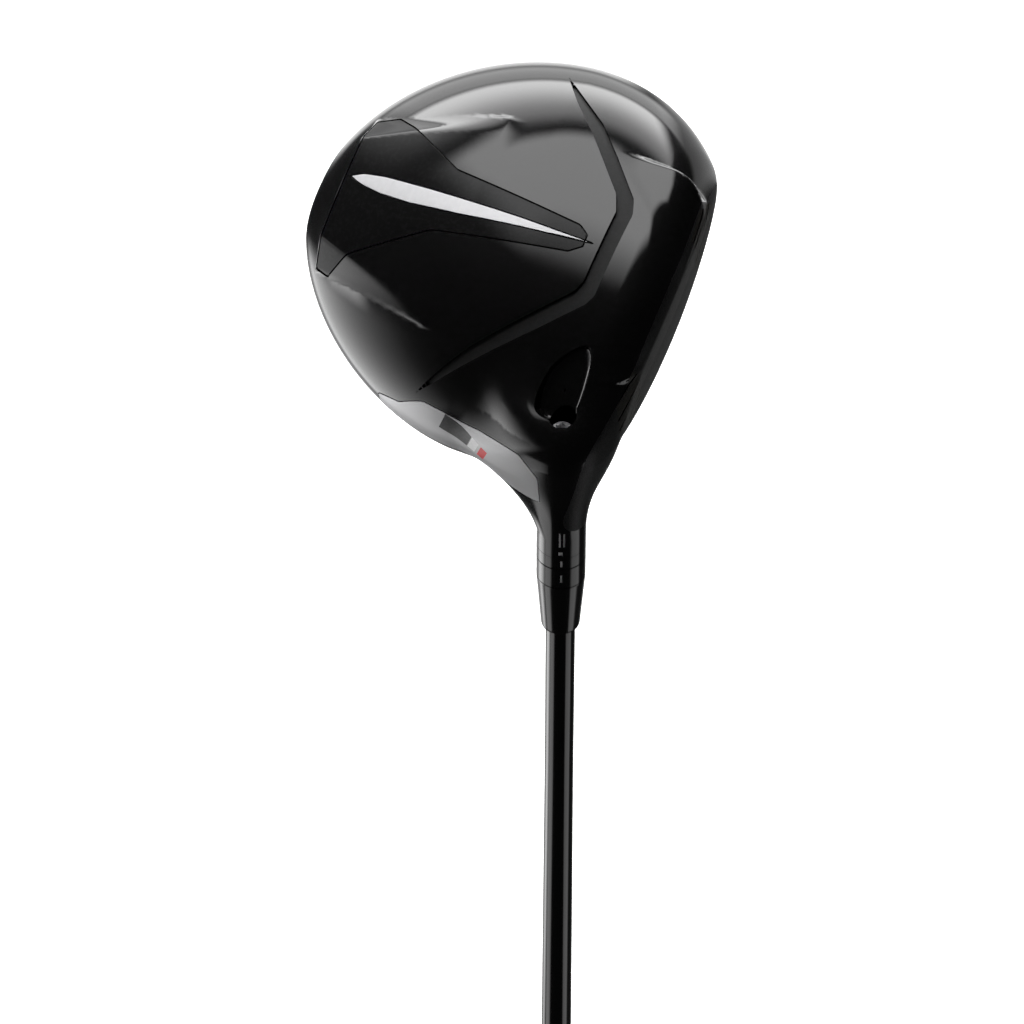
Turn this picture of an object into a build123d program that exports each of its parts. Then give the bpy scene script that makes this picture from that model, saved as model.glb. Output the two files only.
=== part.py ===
from build123d import *
import os
from math import copysign, cos, radians, sin

# A right-handed golf driver: a hollow titanium head on a tapered graphite shaft
# with a rubber grip. The head comes off: a screw through the sole pulls it onto a
# sleeve that is glued to the shaft tip, with a loose adjusting ring between them.
# Row frame, millimetres: +Z runs up the shaft from the butt end to the head, +X is
# the target direction out of the face, +Y points to the toe and the crown. The
# origin is the centre of the butt end, on the shaft axis.

# Club
CLUB_LENGTH = 1156.0  # butt end to the ground point under the shaft axis
LIE = 58.5  # degrees between the shaft and the ground
LOFT = 10.0  # degrees the face leans back
GAP = 0.05  # radial running clearance of the sleeve, ring and screw

# Heights on the shaft axis, measured up from the ground point
TAPER_START = 148.0
FERRULE_TOP = 88.0
SEAM = 68.0  # ferrule to sleeve collar
RING_TOP = 60.5  # sleeve collar to adjusting ring
HOSEL_TOP = 56.0  # adjusting ring to the head's hosel
NECK_TOP = 52.0  # where the hosel starts to flare
PLUG_TOP = 46.0
SHAFT_TIP = 38.0
THREAD_TOP = 36.5
SCREW_END = 35.0
SLEEVE_TIP = 27.0
BORE_FLOOR = 22.0
SHELF_UNDER = 17.5
SCREW_SEAT = 16.5
SCREW_FACE = 12.5

# Radii
HOSEL_R = 7.0
CORE_R = 6.8
FERRULE_TOP_R = 5.6
SHAFT_TIP_R = 4.25
SHAFT_BUTT_R = 7.6
SHAFT_WALL = 1.1
SLEEVE_R = 5.2
THREAD_R = 2.5
SHELF_HOLE_R = 2.75
SCREW_HEAD_R = 3.15
WRENCH_R = 4.1  # round access over the screw head

# Grip
GRIP_LENGTH = 270.0
CAP_THICKNESS = 4.0
VENT_R = 1.5
TAPE = 0.25
GRIP_BUTT_R = 13.4
GRIP_MOUTH_R = 9.2

# Head form: sections across the head at stations along the target line
EQUATOR = 27.0  # height of the widest line
TOP = 58.5  # height of the crown
WIDEST = -33.0  # station of the widest section
MIDDLE = 39.5  # middle of the widest section, toe-ward from the shaft axis
TOE_WIDTH = 59.5
HEEL_WIDTH = 57.8
FRONT_REACH = 56.0
REAR_REACH = 68.5
PEAK = -22.0  # station of the highest section
STATIONS = [22, 14, 4, -9, -22, -38, -54, -70, -83, -92, -98, -100.8]
CORNERS = 24  # spline points round each section
FACE_FRONT = 17.0  # foremost point of the leading edge
BULGE = 305.0  # radius of the face, sideways and upright
FACE_THICKNESS = 3.0
PARTING = 30.0  # height of the weld between crown and body
WALL = 0.8  # titanium skin of the body and crown, doubled in the sole
SOLE_TOP = 20.0  # height up to which the sole is doubled

# Score lines of the face
FACE_MIDDLE = 34.5
SCORE_COUNT = 8
SCORE_LOWEST = 11.0
SCORE_PITCH = 4.4
SCORE_WIDTH = 0.7
SCORE_DEPTH = 0.35
SCORE_CLEAR = 20.0  # half the plain middle of the face
SCORE_REACH = 36.0  # how far the longest line ends from the face middle
SCORE_FADE = 27.0  # height over which the lines shorten

# Small pieces
PATCH_TOP = 33.0
PATCH_FOOT = 29.5
PATCH_DEPTH = 0.3
SOCKET_R = 1.95
LOBE_R = 0.55
SOCKET_DEPTH = 2.2
PAD_TOP = 21.0
MELT_PLACE = (68.0, -45.0)
MELT_R = 10.0
MELT_TOP = 8.0
TAPE_LOW = 6.0
TAPE_HIGH = 262.0

# Sole pieces
KEEL_FRONT = -47.0  # station where the keel comes out of the round form
KEEL_REAR = -88.4  # station of the straight trailing edge
KEEL_TOP = 21.0
LINE = 0.2  # gap all round an inlaid piece

lean_c = cos(radians(LIE))
lean_s = sin(radians(LIE))
# Head frame: x to the toe, y out of the face, z up from the ground
HEAD = Plane(origin=(0, 0, CLUB_LENGTH), x_dir=(0, lean_s, lean_c), z_dir=(0, lean_c, -lean_s))
face_normal = Vector(0, cos(radians(LOFT)), sin(radians(LOFT)))
face_middle = Vector(MIDDLE, FACE_FRONT - 5.0, EQUATOR + 1.0)
face_ball = HEAD.from_local_coords(face_middle - face_normal * BULGE)

os.makedirs("parts", exist_ok=True)


def save(piece, name):
    """Label a finished piece and write its STEP file."""
    piece.part.label = name
    export_step(piece.part, "parts/" + name + ".step")


def along(height):
    """Row height of a point on the shaft axis, from its height above the ground."""
    return CLUB_LENGTH - height


def turned(*points):
    """A solid turned about the shaft from a profile of (radius, row height) points."""
    with BuildPart() as solid:
        with BuildSketch(Plane.XZ):
            with BuildLine():
                Polyline(*points, close=True)
            make_face()
        revolve(axis=Axis.Z)
    return solid


def tube(inside, outside, low, high):
    """A round tube or washer about the shaft between two row heights."""
    return turned((inside, low), (outside, low), (outside, high), (inside, high))


# ---------------------------------------------------------------- head form


def bow(distance, reach, power):
    """How a rounded outline falls from 1 at its middle to 0 at its reach."""
    share = min(abs(distance) / reach, 1.0)
    return (1.0 - share**power) ** (1.0 / power)


def section_sizes(y):
    """Middle, widths to toe and heel, sole height and crown height of the head at a station."""
    middle = MIDDLE
    toe = TOE_WIDTH * bow(y - WIDEST, REAR_REACH, 1.87)
    heel = HEEL_WIDTH * bow(y - WIDEST, REAR_REACH, 1.72)
    if y > WIDEST:
        middle = MIDDLE - 5.0 * ((y - WIDEST) / 48.0) ** 1.5
        toe = TOE_WIDTH * bow(y - WIDEST, FRONT_REACH, 2.35)
        heel = HEEL_WIDTH * bow(y - WIDEST, FRONT_REACH, 2.35)
    tail = min(max(PEAK - y, 0.0) / (REAR_REACH - WIDEST + PEAK), 1.0)
    sole = EQUATOR * (1.0 - (1.0 - tail**2.2) ** 0.625)
    crown = EQUATOR + (TOP - EQUATOR) * (1.0 - tail**2.1) ** 0.53
    if y > PEAK:
        crown = TOP - 55.0 * ((y - PEAK) / 75.0) ** 2
    return middle, toe, heel, sole, crown


def section_points(y, inset):
    """Outline points of one section, moved inwards by inset."""
    middle, toe, heel, sole, crown = section_sizes(y)
    points = []
    for corner in range(CORNERS):
        turn = radians(360.0 * corner / CORNERS)
        upper = sin(turn) > 0
        power = 2.0 if upper else 2.15
        depth = crown - EQUATOR if upper else EQUATOR - sole
        across = copysign(abs(cos(turn)) ** (2.0 / power), cos(turn))
        rise = copysign(abs(sin(turn)) ** (2.0 / power), sin(turn))
        height = EQUATOR + rise * max(depth - inset, 1.0)
        width = toe if across > 0 else heel
        points.append((middle + across * (width - inset), height))
    return points


def keel(inset):
    """The sole's own curve carried on to a straight trailing edge, between two flanks."""
    ends = [
        (KEEL_FRONT, 29.5, 4.6, 1.7, 31.5, 5.4),
        (KEEL_REAR + inset, 15.5, 10.5, 9.7, 23.5, 17.0),
    ]
    with BuildPart() as wedge:
        for y, flat, flat_height, lowest, wide, wide_height in ends:
            corner = HEAD.from_local_coords((MIDDLE, y, inset))
            with BuildSketch(Plane(corner, HEAD.x_dir, -HEAD.y_dir)):
                with BuildLine():
                    ThreePointArc((inset - flat, flat_height), (0, lowest), (flat - inset, flat_height))
                    Polyline(
                        (flat - inset, flat_height),
                        (wide - inset, wide_height),
                        (wide - inset, KEEL_TOP),
                        (inset - wide, KEEL_TOP),
                        (inset - wide, wide_height),
                        (inset - flat, flat_height),
                    )
                make_face()
        loft(ruled=True)
    return wedge


def head_form(inset):
    """The closed head form behind the face's curve, moved inwards by inset."""
    shrink = 1.0 - inset / REAR_REACH
    with BuildPart() as form:
        for station in STATIONS:
            y = WIDEST + (station - WIDEST) * shrink
            corner = HEAD.from_local_coords((0, y, 0))
            with BuildSketch(Plane(corner, HEAD.x_dir, -HEAD.y_dir)):
                with BuildLine():
                    Spline(*section_points(station, inset), periodic=True)
                make_face()
        loft()
        add(keel(inset).part)
        with Locations(face_ball):
            Sphere(BULGE, mode=Mode.INTERSECT)
    return form


outer = head_form(0.0)
inner = head_form(WALL)
sole_inner = head_form(2 * WALL)

with BuildPart() as skin:
    add(outer.part)
    add(inner.part, mode=Mode.SUBTRACT)

# Solid core of the hosel inside the head, later bored for the sleeve and screw
hosel_core = tube(0, CORE_R, along(NECK_TOP), along(SCREW_FACE - 4))

# Hollow of the head, smaller by one wall along the sole
with BuildPart() as low_hollow:
    add(sole_inner.part)
    split(bisect_by=HEAD.offset(SOLE_TOP), keep=Keep.BOTTOM)

with BuildPart() as hollow:
    add(inner.part)
    split(bisect_by=HEAD.offset(SOLE_TOP), keep=Keep.TOP)
    add(low_hollow.part)
    add(hosel_core.part, mode=Mode.SUBTRACT)

# The hosel flares into the heel: its reach to the toe, heel, front and back by height
NECK = [
    (HOSEL_TOP, 7, 7, 7, 7),
    (NECK_TOP, 7, 7, 7, 7),
    (44, 8.2, 7.2, 7.2, 9.8),
    (36, 12.5, 7.8, 8.0, 15.2),
    (28, 19, 8.5, 8.8, 19.5),
    (20, 25, 8.8, 9.2, 22),
    (13, 25, 7.5, 8.5, 20),
    (9, 18, 3, 4, 11),
]
with BuildPart() as neck:
    for height, toe, heel, front, back in NECK:
        rim = []
        for corner in range(12):
            turn = radians(30.0 * corner + 15.0)
            ahead = (front if cos(turn) > 0 else back) * cos(turn)
            aside = (toe if sin(turn) > 0 else heel) * sin(turn)
            rim.append((ahead, aside))
        with BuildSketch(Plane.XY.offset(along(height))):
            with BuildLine():
                Spline(*rim, periodic=True)
            make_face()
    loft()

# ---------------------------------------------------------------- sole pieces

# Outlines in the head frame, (toe-ward, forward)
CHANNEL = [
    (-10, -45),
    (-6, -39.5),
    (16, -14.5),
    (26, -4),
    (29, -2.4),
    (54.5, -1.4),
    (59, -3),
    (70, -13),
    (78.3, -21.2),
    (90.5, -38.5),
    (82.3, -31),
    (74.3, -22.5),
    (69.5, -18),
    (59, -8.4),
    (54, -6.2),
    (32, -6.9),
    (28.6, -8.4),
    (20, -17.2),
    (5.4, -32),
]
PANEL = [
    (62.3, -88),
    (64.3, -80.2),
    (62, -73.5),
    (52.5, -54.7),
    (47.3, -14),
    (45, -10.7),
    (41.2, -10.7),
    (38.6, -14.3),
    (33.1, -54.9),
    (20.5, -77.2),
    (14.2, -82.8),
    (16, -88),
]
SPEAR = [
    (42.9, -86.2),
    (44.4, -82),
    (44.9, -75),
    (44.6, -60),
    (43.9, -31),
    (43, -8.5),
    (41.6, -30),
    (40.0, -50),
    (39.4, -65),
    (40, -75),
    (41.2, -81),
]
POCKET = [(16.5, 0), (14, 3), (7, 3.6), (-7, 3.4), (-7, -7.5), (-1, -9), (4, -8.4), (9, -7)]
BADGE = [(-11, -58), (-12.4, -50), (-11, -42), (-13.9, -23), (-17.4, -9), (-21, -3), (-40, -3), (-40, -58)]


def patch(points, grow):
    """The piece of the skin that lies under an outline grown by a margin."""
    with BuildPart() as piece:
        with BuildSketch(HEAD.offset(-10)):
            with BuildLine():
                Polyline(*points, close=True)
            make_face()
            if grow:
                offset(amount=grow)
        extrude(amount=EQUATOR + 9)
        add(skin.part, mode=Mode.INTERSECT)
    return piece


with BuildPart() as sole_panel:
    add(patch(PANEL, -LINE).part)
    add(patch(SPEAR, 0).part, mode=Mode.SUBTRACT)
save(sole_panel, "sole_panel")

spear_inlay = patch(SPEAR, -LINE)
save(spear_inlay, "spear_inlay")

heel_badge = patch(BADGE, -LINE)
save(heel_badge, "heel_badge")


# ---------------------------------------------------------------- head shells

# Scooped trough in the sole, and the round way over the screw head
with BuildPart() as wrench_pocket:
    with BuildSketch(HEAD.offset(-10)):
        with BuildLine():
            Polyline(*POCKET, close=True)
        make_face()
        fillet(vertices(), radius=1.5)
    extrude(amount=40)
    floor = Plane(
        HEAD.from_local_coords((16, 0, 1)),
        HEAD.y_dir,
        HEAD.from_local_coords((9.6, 0, 22)) - HEAD.origin,
    )
    split(bisect_by=floor, keep=Keep.BOTTOM)
    add(tube(0, WRENCH_R, along(SHELF_UNDER), along(-20)).part)

with BuildPart() as hosel_bore:
    add(tube(0, SLEEVE_R + GAP, along(HOSEL_TOP), along(BORE_FLOOR)).part)
    add(tube(0, SHELF_HOLE_R, along(BORE_FLOOR), along(SHELF_UNDER)).part)

# Forged face plate: a slice of the head form between two concentric balls, with
# score lines at its toe and heel
with BuildPart() as face_slice:
    add(outer.part)
    with Locations(face_ball):
        Sphere(BULGE - FACE_THICKNESS, mode=Mode.SUBTRACT)

with BuildPart() as score_lines:
    for line in range(SCORE_COUNT):
        height = SCORE_LOWEST + line * SCORE_PITCH
        reach = SCORE_REACH * bow(height - EQUATOR, SCORE_FADE, 2.0)
        wall = Plane(HEAD.from_local_coords((FACE_MIDDLE, 0, height)), HEAD.x_dir, -HEAD.y_dir)
        with BuildSketch(wall):
            for side in (-1, 1):
                with Locations((side * (SCORE_CLEAR + reach) / 2, 0)):
                    Rectangle(reach - SCORE_CLEAR, SCORE_WIDTH)
        extrude(amount=-25)
    with Locations(face_ball):
        Sphere(BULGE - SCORE_DEPTH, mode=Mode.SUBTRACT)

with BuildPart() as face_plate:
    add(face_slice.part)
    add(score_lines.part, mode=Mode.SUBTRACT)
save(face_plate, "face_plate")

# Thin crown, welded to the body above the widest line
with BuildPart() as crown:
    add(skin.part)
    add(face_slice.part, mode=Mode.SUBTRACT)
    split(bisect_by=HEAD.offset(PARTING), keep=Keep.TOP)
    add(neck.part, mode=Mode.SUBTRACT)
save(crown, "crown")

# Cast body: sole, skirt, heel and hosel in one, open under the crown and the face
with BuildPart() as head_body:
    add(outer.part)
    add(neck.part)
    add(face_slice.part, mode=Mode.SUBTRACT)
    add(hollow.part, mode=Mode.SUBTRACT)
    add(crown.part, mode=Mode.SUBTRACT)
    add(hosel_bore.part, mode=Mode.SUBTRACT)
    add(wrench_pocket.part, mode=Mode.SUBTRACT)
    for outline in (CHANNEL, PANEL, BADGE):
        add(patch(outline, 0).part, mode=Mode.SUBTRACT)
save(head_body, "head_body")

# Titanium pad brazed inside the trailing edge, to set the balance point back
with BuildPart() as rear_weight_pad:
    with BuildSketch(HEAD.offset(-10)):
        with Locations((MIDDLE, KEEL_REAR)):
            Rectangle(30, 12)
    extrude(amount=10 + PAD_TOP)
    add(sole_inner.part, mode=Mode.INTERSECT)
save(rear_weight_pad, "rear_weight_pad")

# Puddle of hot-melt glue that catches loose grit and trims the swing weight
with BuildPart() as hot_melt_pad:
    with BuildSketch(HEAD.offset(-10)):
        with Locations(MELT_PLACE):
            Circle(MELT_R)
    extrude(amount=10 + MELT_TOP)
    add(sole_inner.part, mode=Mode.INTERSECT)
save(hot_melt_pad, "hot_melt_pad")

# ---------------------------------------------------------------- hosel fittings

adapter_ring = tube(SLEEVE_R + GAP, HOSEL_R, along(RING_TOP), along(HOSEL_TOP))
save(adapter_ring, "adapter_ring")

shaft_sleeve = turned(
    (SHAFT_TIP_R, along(SEAM)),
    (HOSEL_R, along(SEAM)),
    (HOSEL_R, along(RING_TOP)),
    (SLEEVE_R, along(RING_TOP)),
    (SLEEVE_R, along(SLEEVE_TIP + 0.6)),
    (SLEEVE_R - 0.6, along(SLEEVE_TIP)),
    (THREAD_R, along(SLEEVE_TIP)),
    (THREAD_R, along(THREAD_TOP)),
    (0, along(THREAD_TOP)),
    (0, along(SHAFT_TIP)),
    (SHAFT_TIP_R, along(SHAFT_TIP)),
)
save(shaft_sleeve, "shaft_sleeve")

# Steel screw with a six-lobed socket; its shank is necked for a nylon lock patch
shank_r = THREAD_R - GAP
with BuildPart() as hosel_screw:
    add(
        turned(
            (0, along(SCREW_END)),
            (shank_r - 0.5, along(SCREW_END)),
            (shank_r, along(SCREW_END - 0.5)),
            (shank_r, along(PATCH_TOP)),
            (shank_r - PATCH_DEPTH, along(PATCH_TOP)),
            (shank_r - PATCH_DEPTH, along(PATCH_FOOT)),
            (shank_r, along(PATCH_FOOT)),
            (shank_r, along(SCREW_SEAT)),
            (SCREW_HEAD_R, along(SCREW_SEAT)),
            (SCREW_HEAD_R, along(SCREW_FACE + 0.6)),
            (SCREW_HEAD_R - 0.6, along(SCREW_FACE)),
            (0, along(SCREW_FACE)),
        ).part
    )
    with BuildSketch(Plane.XY.offset(along(SCREW_FACE))):
        Circle(SOCKET_R - LOBE_R)
        with PolarLocations(SOCKET_R - LOBE_R, 6):
            Circle(LOBE_R)
    extrude(amount=-SOCKET_DEPTH, mode=Mode.SUBTRACT)
save(hosel_screw, "hosel_screw")

thread_patch = tube(shank_r - PATCH_DEPTH, shank_r, along(PATCH_TOP), along(PATCH_FOOT))
save(thread_patch, "thread_patch")

screw_washer = tube(shank_r + 0.15, WRENCH_R - 0.4, along(SHELF_UNDER), along(SCREW_SEAT))
save(screw_washer, "screw_washer")

# Clip on the shank above the shelf, which keeps the loosened screw in the head
screw_retainer = tube(shank_r, SLEEVE_R - 0.6, along(BORE_FLOOR + 1.1), along(BORE_FLOOR + 0.1))
save(screw_retainer, "screw_retainer")

# ---------------------------------------------------------------- shaft and grip


def shaft_radius(z):
    """Outer radius of the shaft at a row height below its parallel tip."""
    share = (z - CAP_THICKNESS) / (along(TAPER_START) - CAP_THICKNESS)
    return SHAFT_BUTT_R + (SHAFT_TIP_R - SHAFT_BUTT_R) * share


ferrule = turned(
    (SHAFT_TIP_R, along(FERRULE_TOP)),
    (FERRULE_TOP_R - 0.5, along(FERRULE_TOP)),
    (FERRULE_TOP_R, along(FERRULE_TOP - 0.8)),
    (HOSEL_R, along(SEAM)),
    (SHAFT_TIP_R, along(SEAM)),
)
save(ferrule, "ferrule")

shaft = turned(
    (SHAFT_BUTT_R - SHAFT_WALL, CAP_THICKNESS),
    (SHAFT_BUTT_R, CAP_THICKNESS),
    (SHAFT_TIP_R, along(TAPER_START)),
    (SHAFT_TIP_R, along(SHAFT_TIP)),
    (SHAFT_TIP_R - SHAFT_WALL, along(SHAFT_TIP)),
    (SHAFT_TIP_R - SHAFT_WALL, along(TAPER_START)),
)
save(shaft, "shaft")

tip_plug = tube(0, SHAFT_TIP_R - SHAFT_WALL, along(PLUG_TOP), along(SHAFT_TIP))
save(tip_plug, "tip_plug")

grip_tape = turned(
    (shaft_radius(TAPE_LOW), TAPE_LOW),
    (shaft_radius(TAPE_LOW) + TAPE, TAPE_LOW),
    (shaft_radius(TAPE_HIGH) + TAPE, TAPE_HIGH),
    (shaft_radius(TAPE_HIGH), TAPE_HIGH),
)
save(grip_tape, "grip_tape")

# Rubber sleeve, flared at the butt and thin at its mouth
with BuildPart() as grip:
    with BuildSketch(Plane.XZ):
        with BuildLine():
            Polyline(
                (GRIP_BUTT_R, CAP_THICKNESS),
                (shaft_radius(CAP_THICKNESS) + TAPE, CAP_THICKNESS),
                (shaft_radius(GRIP_LENGTH) + TAPE, GRIP_LENGTH),
                (GRIP_MOUTH_R, GRIP_LENGTH),
            )
            Spline(
                (GRIP_MOUTH_R, GRIP_LENGTH),
                (GRIP_MOUTH_R + 1.1, GRIP_LENGTH * 0.7),
                (GRIP_BUTT_R - 1.5, GRIP_LENGTH * 0.3),
                (GRIP_BUTT_R, CAP_THICKNESS),
            )
        make_face()
    revolve(axis=Axis.Z)
save(grip, "grip")

with BuildPart() as grip_cap:
    add(tube(VENT_R, GRIP_BUTT_R, 0, CAP_THICKNESS).part)
    rim = grip_cap.edges().filter_by(GeomType.CIRCLE).sort_by(Axis.Z)[:2].sort_by(SortBy.RADIUS)[-1]
    fillet(rim, radius=2.0)
save(grip_cap, "grip_cap")
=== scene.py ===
import bpy
import numpy as np
from mathutils import Matrix


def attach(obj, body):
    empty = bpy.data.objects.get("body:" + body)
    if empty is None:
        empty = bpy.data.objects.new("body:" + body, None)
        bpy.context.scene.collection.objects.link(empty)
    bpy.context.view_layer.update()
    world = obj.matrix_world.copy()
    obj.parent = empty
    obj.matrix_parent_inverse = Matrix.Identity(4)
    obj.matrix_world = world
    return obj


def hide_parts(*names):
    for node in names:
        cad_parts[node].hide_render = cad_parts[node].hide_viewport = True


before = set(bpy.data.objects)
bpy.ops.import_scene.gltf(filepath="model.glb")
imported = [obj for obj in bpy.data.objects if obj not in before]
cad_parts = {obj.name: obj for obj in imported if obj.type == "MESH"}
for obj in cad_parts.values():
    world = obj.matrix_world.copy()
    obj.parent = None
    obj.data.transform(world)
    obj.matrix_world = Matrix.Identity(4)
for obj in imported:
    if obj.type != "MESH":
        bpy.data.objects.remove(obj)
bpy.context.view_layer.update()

# ---------------------------------------------------------------- cast body
# The sole, skirt and hosel of the head are one titanium casting, polished and painted
# gloss black. A trough crosses the sole, shallow beds take the inlaid pieces, and a
# scooped pocket leads to the screw.

GROUND = 1156
LIE = np.radians(58.5)
LOFT = np.radians(10)
LEAN_C, LEAN_S = np.cos(LIE), np.sin(LIE)
HEAD = np.array([[0, 1, 0], [LEAN_S, 0, LEAN_C], [LEAN_C, 0, -LEAN_S]])
BALL_R = 305.0
BALL = np.array([39.5, 12.0, 28.0]) - BALL_R * np.array([0, np.cos(LOFT), np.sin(LOFT)])


def smooth_max(a, b, reach):
    """The larger of two fields, rounded where they cross."""
    near = np.maximum(reach - np.abs(a - b), 0) / reach
    return np.maximum(a, b) + near * near * reach / 4


def smooth_min(a, b, reach):
    """The smaller of two fields, rounded where they cross."""
    return -smooth_max(-a, -b, reach)


def bow(distance, reach, power):
    """How a rounded outline falls from 1 at its middle to 0 at its reach."""
    share = np.minimum(np.abs(distance) / reach, 1)
    return (1 - share**power) ** (1 / power)


def round_form(p):
    """Below 0 inside the round head, from its section at each station."""
    x, y, z = p.T
    middle = 39.5 - 5 * (np.maximum(y + 33, 0) / 48) ** 1.5
    toe = 59.5 * np.where(y > -33, bow(y + 33, 56, 2.35), bow(y + 33, 68.5, 1.87))
    heel = 57.8 * np.where(y > -33, bow(y + 33, 56, 2.35), bow(y + 33, 68.5, 1.72))
    width = np.where(x > middle, toe, heel)
    tail = np.clip((-22 - y) / 79.5, 0, 1)
    sole = 27 * (1 - (1 - tail**2.2) ** 0.625)
    crown = np.where(y > -22, 58.5 - 55 * ((y + 22) / 75) ** 2, 27 + 31.5 * (1 - tail**2.1) ** 0.53)
    power = np.where(z > 27, 2.0, 2.15)
    depth = np.where(z > 27, crown - 27, 27 - sole)
    across = np.abs(x - middle) / np.maximum(width, 0.5)
    rise = np.abs(z - 27) / np.maximum(depth, 0.5)
    return (across**power + rise**power) ** (1 / power) - 1


def slope(field, p, step=0.05):
    """Gradient of a field at each point."""
    moves = np.eye(3) * step
    return np.stack([(field(p + m) - field(p - m)) / (2 * step) for m in moves], 1)


def keel(p):
    """Below 0 inside the flat-bottomed keel that carries the sole back."""
    x, y, z = p.T
    share = np.clip((-47 - y) / 41.4, 0, 1)
    aside = np.abs(x - 39.5)
    flat = 31.5 - 16 * share
    rise = share**1.5
    bottom = 1.7 + 8 * rise + (2.9 - 2.1 * share) * (aside / flat) ** 2
    flank = 4.6 + 5.9 * rise + (0.3 + 0.5 * share) * (aside - flat)
    under = smooth_max(bottom - z, flank - z, 0.5)
    walls = smooth_max(aside - 32.5 + 9 * share, -88.4 - y, 0.8)
    return smooth_max(smooth_max(under, walls, 0.8), z - 21, 0.8)


def axis_height(p):
    """Height of a point along the shaft axis above the ground point."""
    return LEAN_S * p[:, 2] - LEAN_C * p[:, 0]


def neck(p):
    """Below 0 inside the hosel, which flares into the heel."""
    ahead, aside = p[:, 1], LEAN_S * p[:, 0] + LEAN_C * p[:, 2]
    drop = np.clip(50 - axis_height(p), 0, 28)
    back = 0.4 * drop**1.15 * (1 - 0.6 * np.clip((28 - axis_height(p)) / 14, 0, 1))
    front = 7 + np.where(ahead > 0, 0.0031 * drop**2, back)
    side = 7 + np.where(aside > 0, 0.0205, 0.0026) * drop**2
    share = np.maximum(np.hypot(ahead / front, aside / side), 0.05)
    return smooth_max(np.hypot(ahead, aside) * (1 - 1 / share), 10 - axis_height(p), 9)


def face_ball(p):
    """Below 0 inside the ball whose surface is the face."""
    return np.linalg.norm(p - BALL, axis=1) - BALL_R


def head_form(p):
    """Below 0 inside the whole head, about the distance in millimetres."""
    value = round_form(p)
    shell = value / np.maximum(np.linalg.norm(slope(round_form, p), axis=1), 1e-3)
    shell = smooth_min(shell, keel(p), 0.6)
    shell = smooth_max(shell, -100.6 - p[:, 1], 3)
    edge = 3 + 10 * np.clip((26 - p[:, 2]) / 16, 0, 1)
    shell = smooth_max(shell, face_ball(p) - 0.085 * edge, edge)
    return smooth_min(shell, neck(p), 13)


def settle(p, turns=4):
    """Points moved onto the head's surface."""
    for _ in range(turns):
        fall = slope(head_form, p)
        p = p - fall * (head_form(p) / np.maximum((fall * fall).sum(1), 1e-3))[:, None]
    return p


def outward(p):
    """Unit normals of the head's surface."""
    fall = slope(head_form, p, 0.02)
    return fall / np.linalg.norm(fall, axis=1)[:, None]


def net(low, high, step):
    """Vertices and quads of the head's surface, one vertex in each grid cell it crosses."""
    low = np.array(low, float)
    size = np.ceil((np.array(high) - low) / step).astype(int) + 1
    value = np.empty(size)
    across = low[1:] + step * np.stack(np.meshgrid(*map(np.arange, size[1:]), indexing="ij"), -1)
    for i in range(size[0]):
        plane = np.insert(across.reshape(-1, 2), 0, low[0] + step * i, axis=1)
        value[i] = head_form(plane).reshape(size[1:])
    total, count, quads = np.zeros((value.size, 3)), np.zeros(value.size), []
    strides = np.array([size[1] * size[2], size[2], 1])
    flat = value.ravel()
    for a in range(3):
        b, c = (a + 1) % 3, (a + 2) % 3
        first = [slice(None)] * 3
        second = [slice(None)] * 3
        first[a], second[a] = slice(None, -1), slice(1, None)
        found = np.argwhere((value[tuple(first)] < 0) != (value[tuple(second)] < 0))
        node = found @ strides
        start, end = flat[node], flat[node + strides[a]]
        point = found.astype(float)
        point[:, a] += start / (start - end)
        quad = np.stack([node, node - strides[b], node - strides[b] - strides[c], node - strides[c]], 1)
        for corner in quad.T:
            np.add.at(total, corner, point)
            np.add.at(count, corner, 1)
        quads.append(np.where((start < 0)[:, None], quad, quad[:, ::-1]))
    used, quads = np.unique(np.vstack(quads), return_inverse=True)
    points = low + step * total[used] / count[used][:, None]
    return settle(points), quads.reshape(-1, 4)


# Outlines on the sole, seen along the head's height: (toe-ward, forward)
CHANNEL = np.array([
    (-10, -45), (-6, -39.5), (16, -14.5), (26, -4), (29, -2.4), (54.5, -1.4), (59, -3), (70, -13),
    (78.3, -21.2), (90.5, -38.5), (82.3, -31), (74.3, -22.5), (69.5, -18), (59, -8.4), (54, -6.2),
    (32, -6.9), (28.6, -8.4), (20, -17.2), (5.4, -32)
], float)
PANEL = np.array([
    (62.3, -88), (64.3, -80.2), (62, -73.5), (52.5, -54.7), (47.3, -14), (45, -10.7),
    (41.2, -10.7), (38.6, -14.3), (33.1, -54.9), (20.5, -77.2), (14.2, -82.8), (16, -88)
], float)
SPEAR = np.array([
    (42.9, -86.2), (44.4, -82), (44.9, -75), (44.6, -60), (43.9, -31), (43, -8.5), (41.6, -30),
    (40, -50), (39.4, -65), (40, -75), (41.2, -81)
], float)
POCKET = np.array([
    (16.5, 0), (14, 3), (7, 3.6), (-7, 3.4), (-7, -7.5), (-1, -9), (4, -8.4), (9, -7)
], float)
BADGE = np.array([
    (-11, -58), (-12.4, -50), (-11, -42), (-13.9, -23), (-17.4, -9), (-21, -3), (-40, -3),
    (-40, -58)
], float)


def rounded(outline, turns=2):
    """An outline with its corners cut and cut again."""
    for _ in range(turns):
        ahead = np.roll(outline, -1, 0)
        outline = np.stack([0.75 * outline + 0.25 * ahead, 0.25 * outline + 0.75 * ahead], 1).reshape(-1, 2)
    return outline


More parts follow.
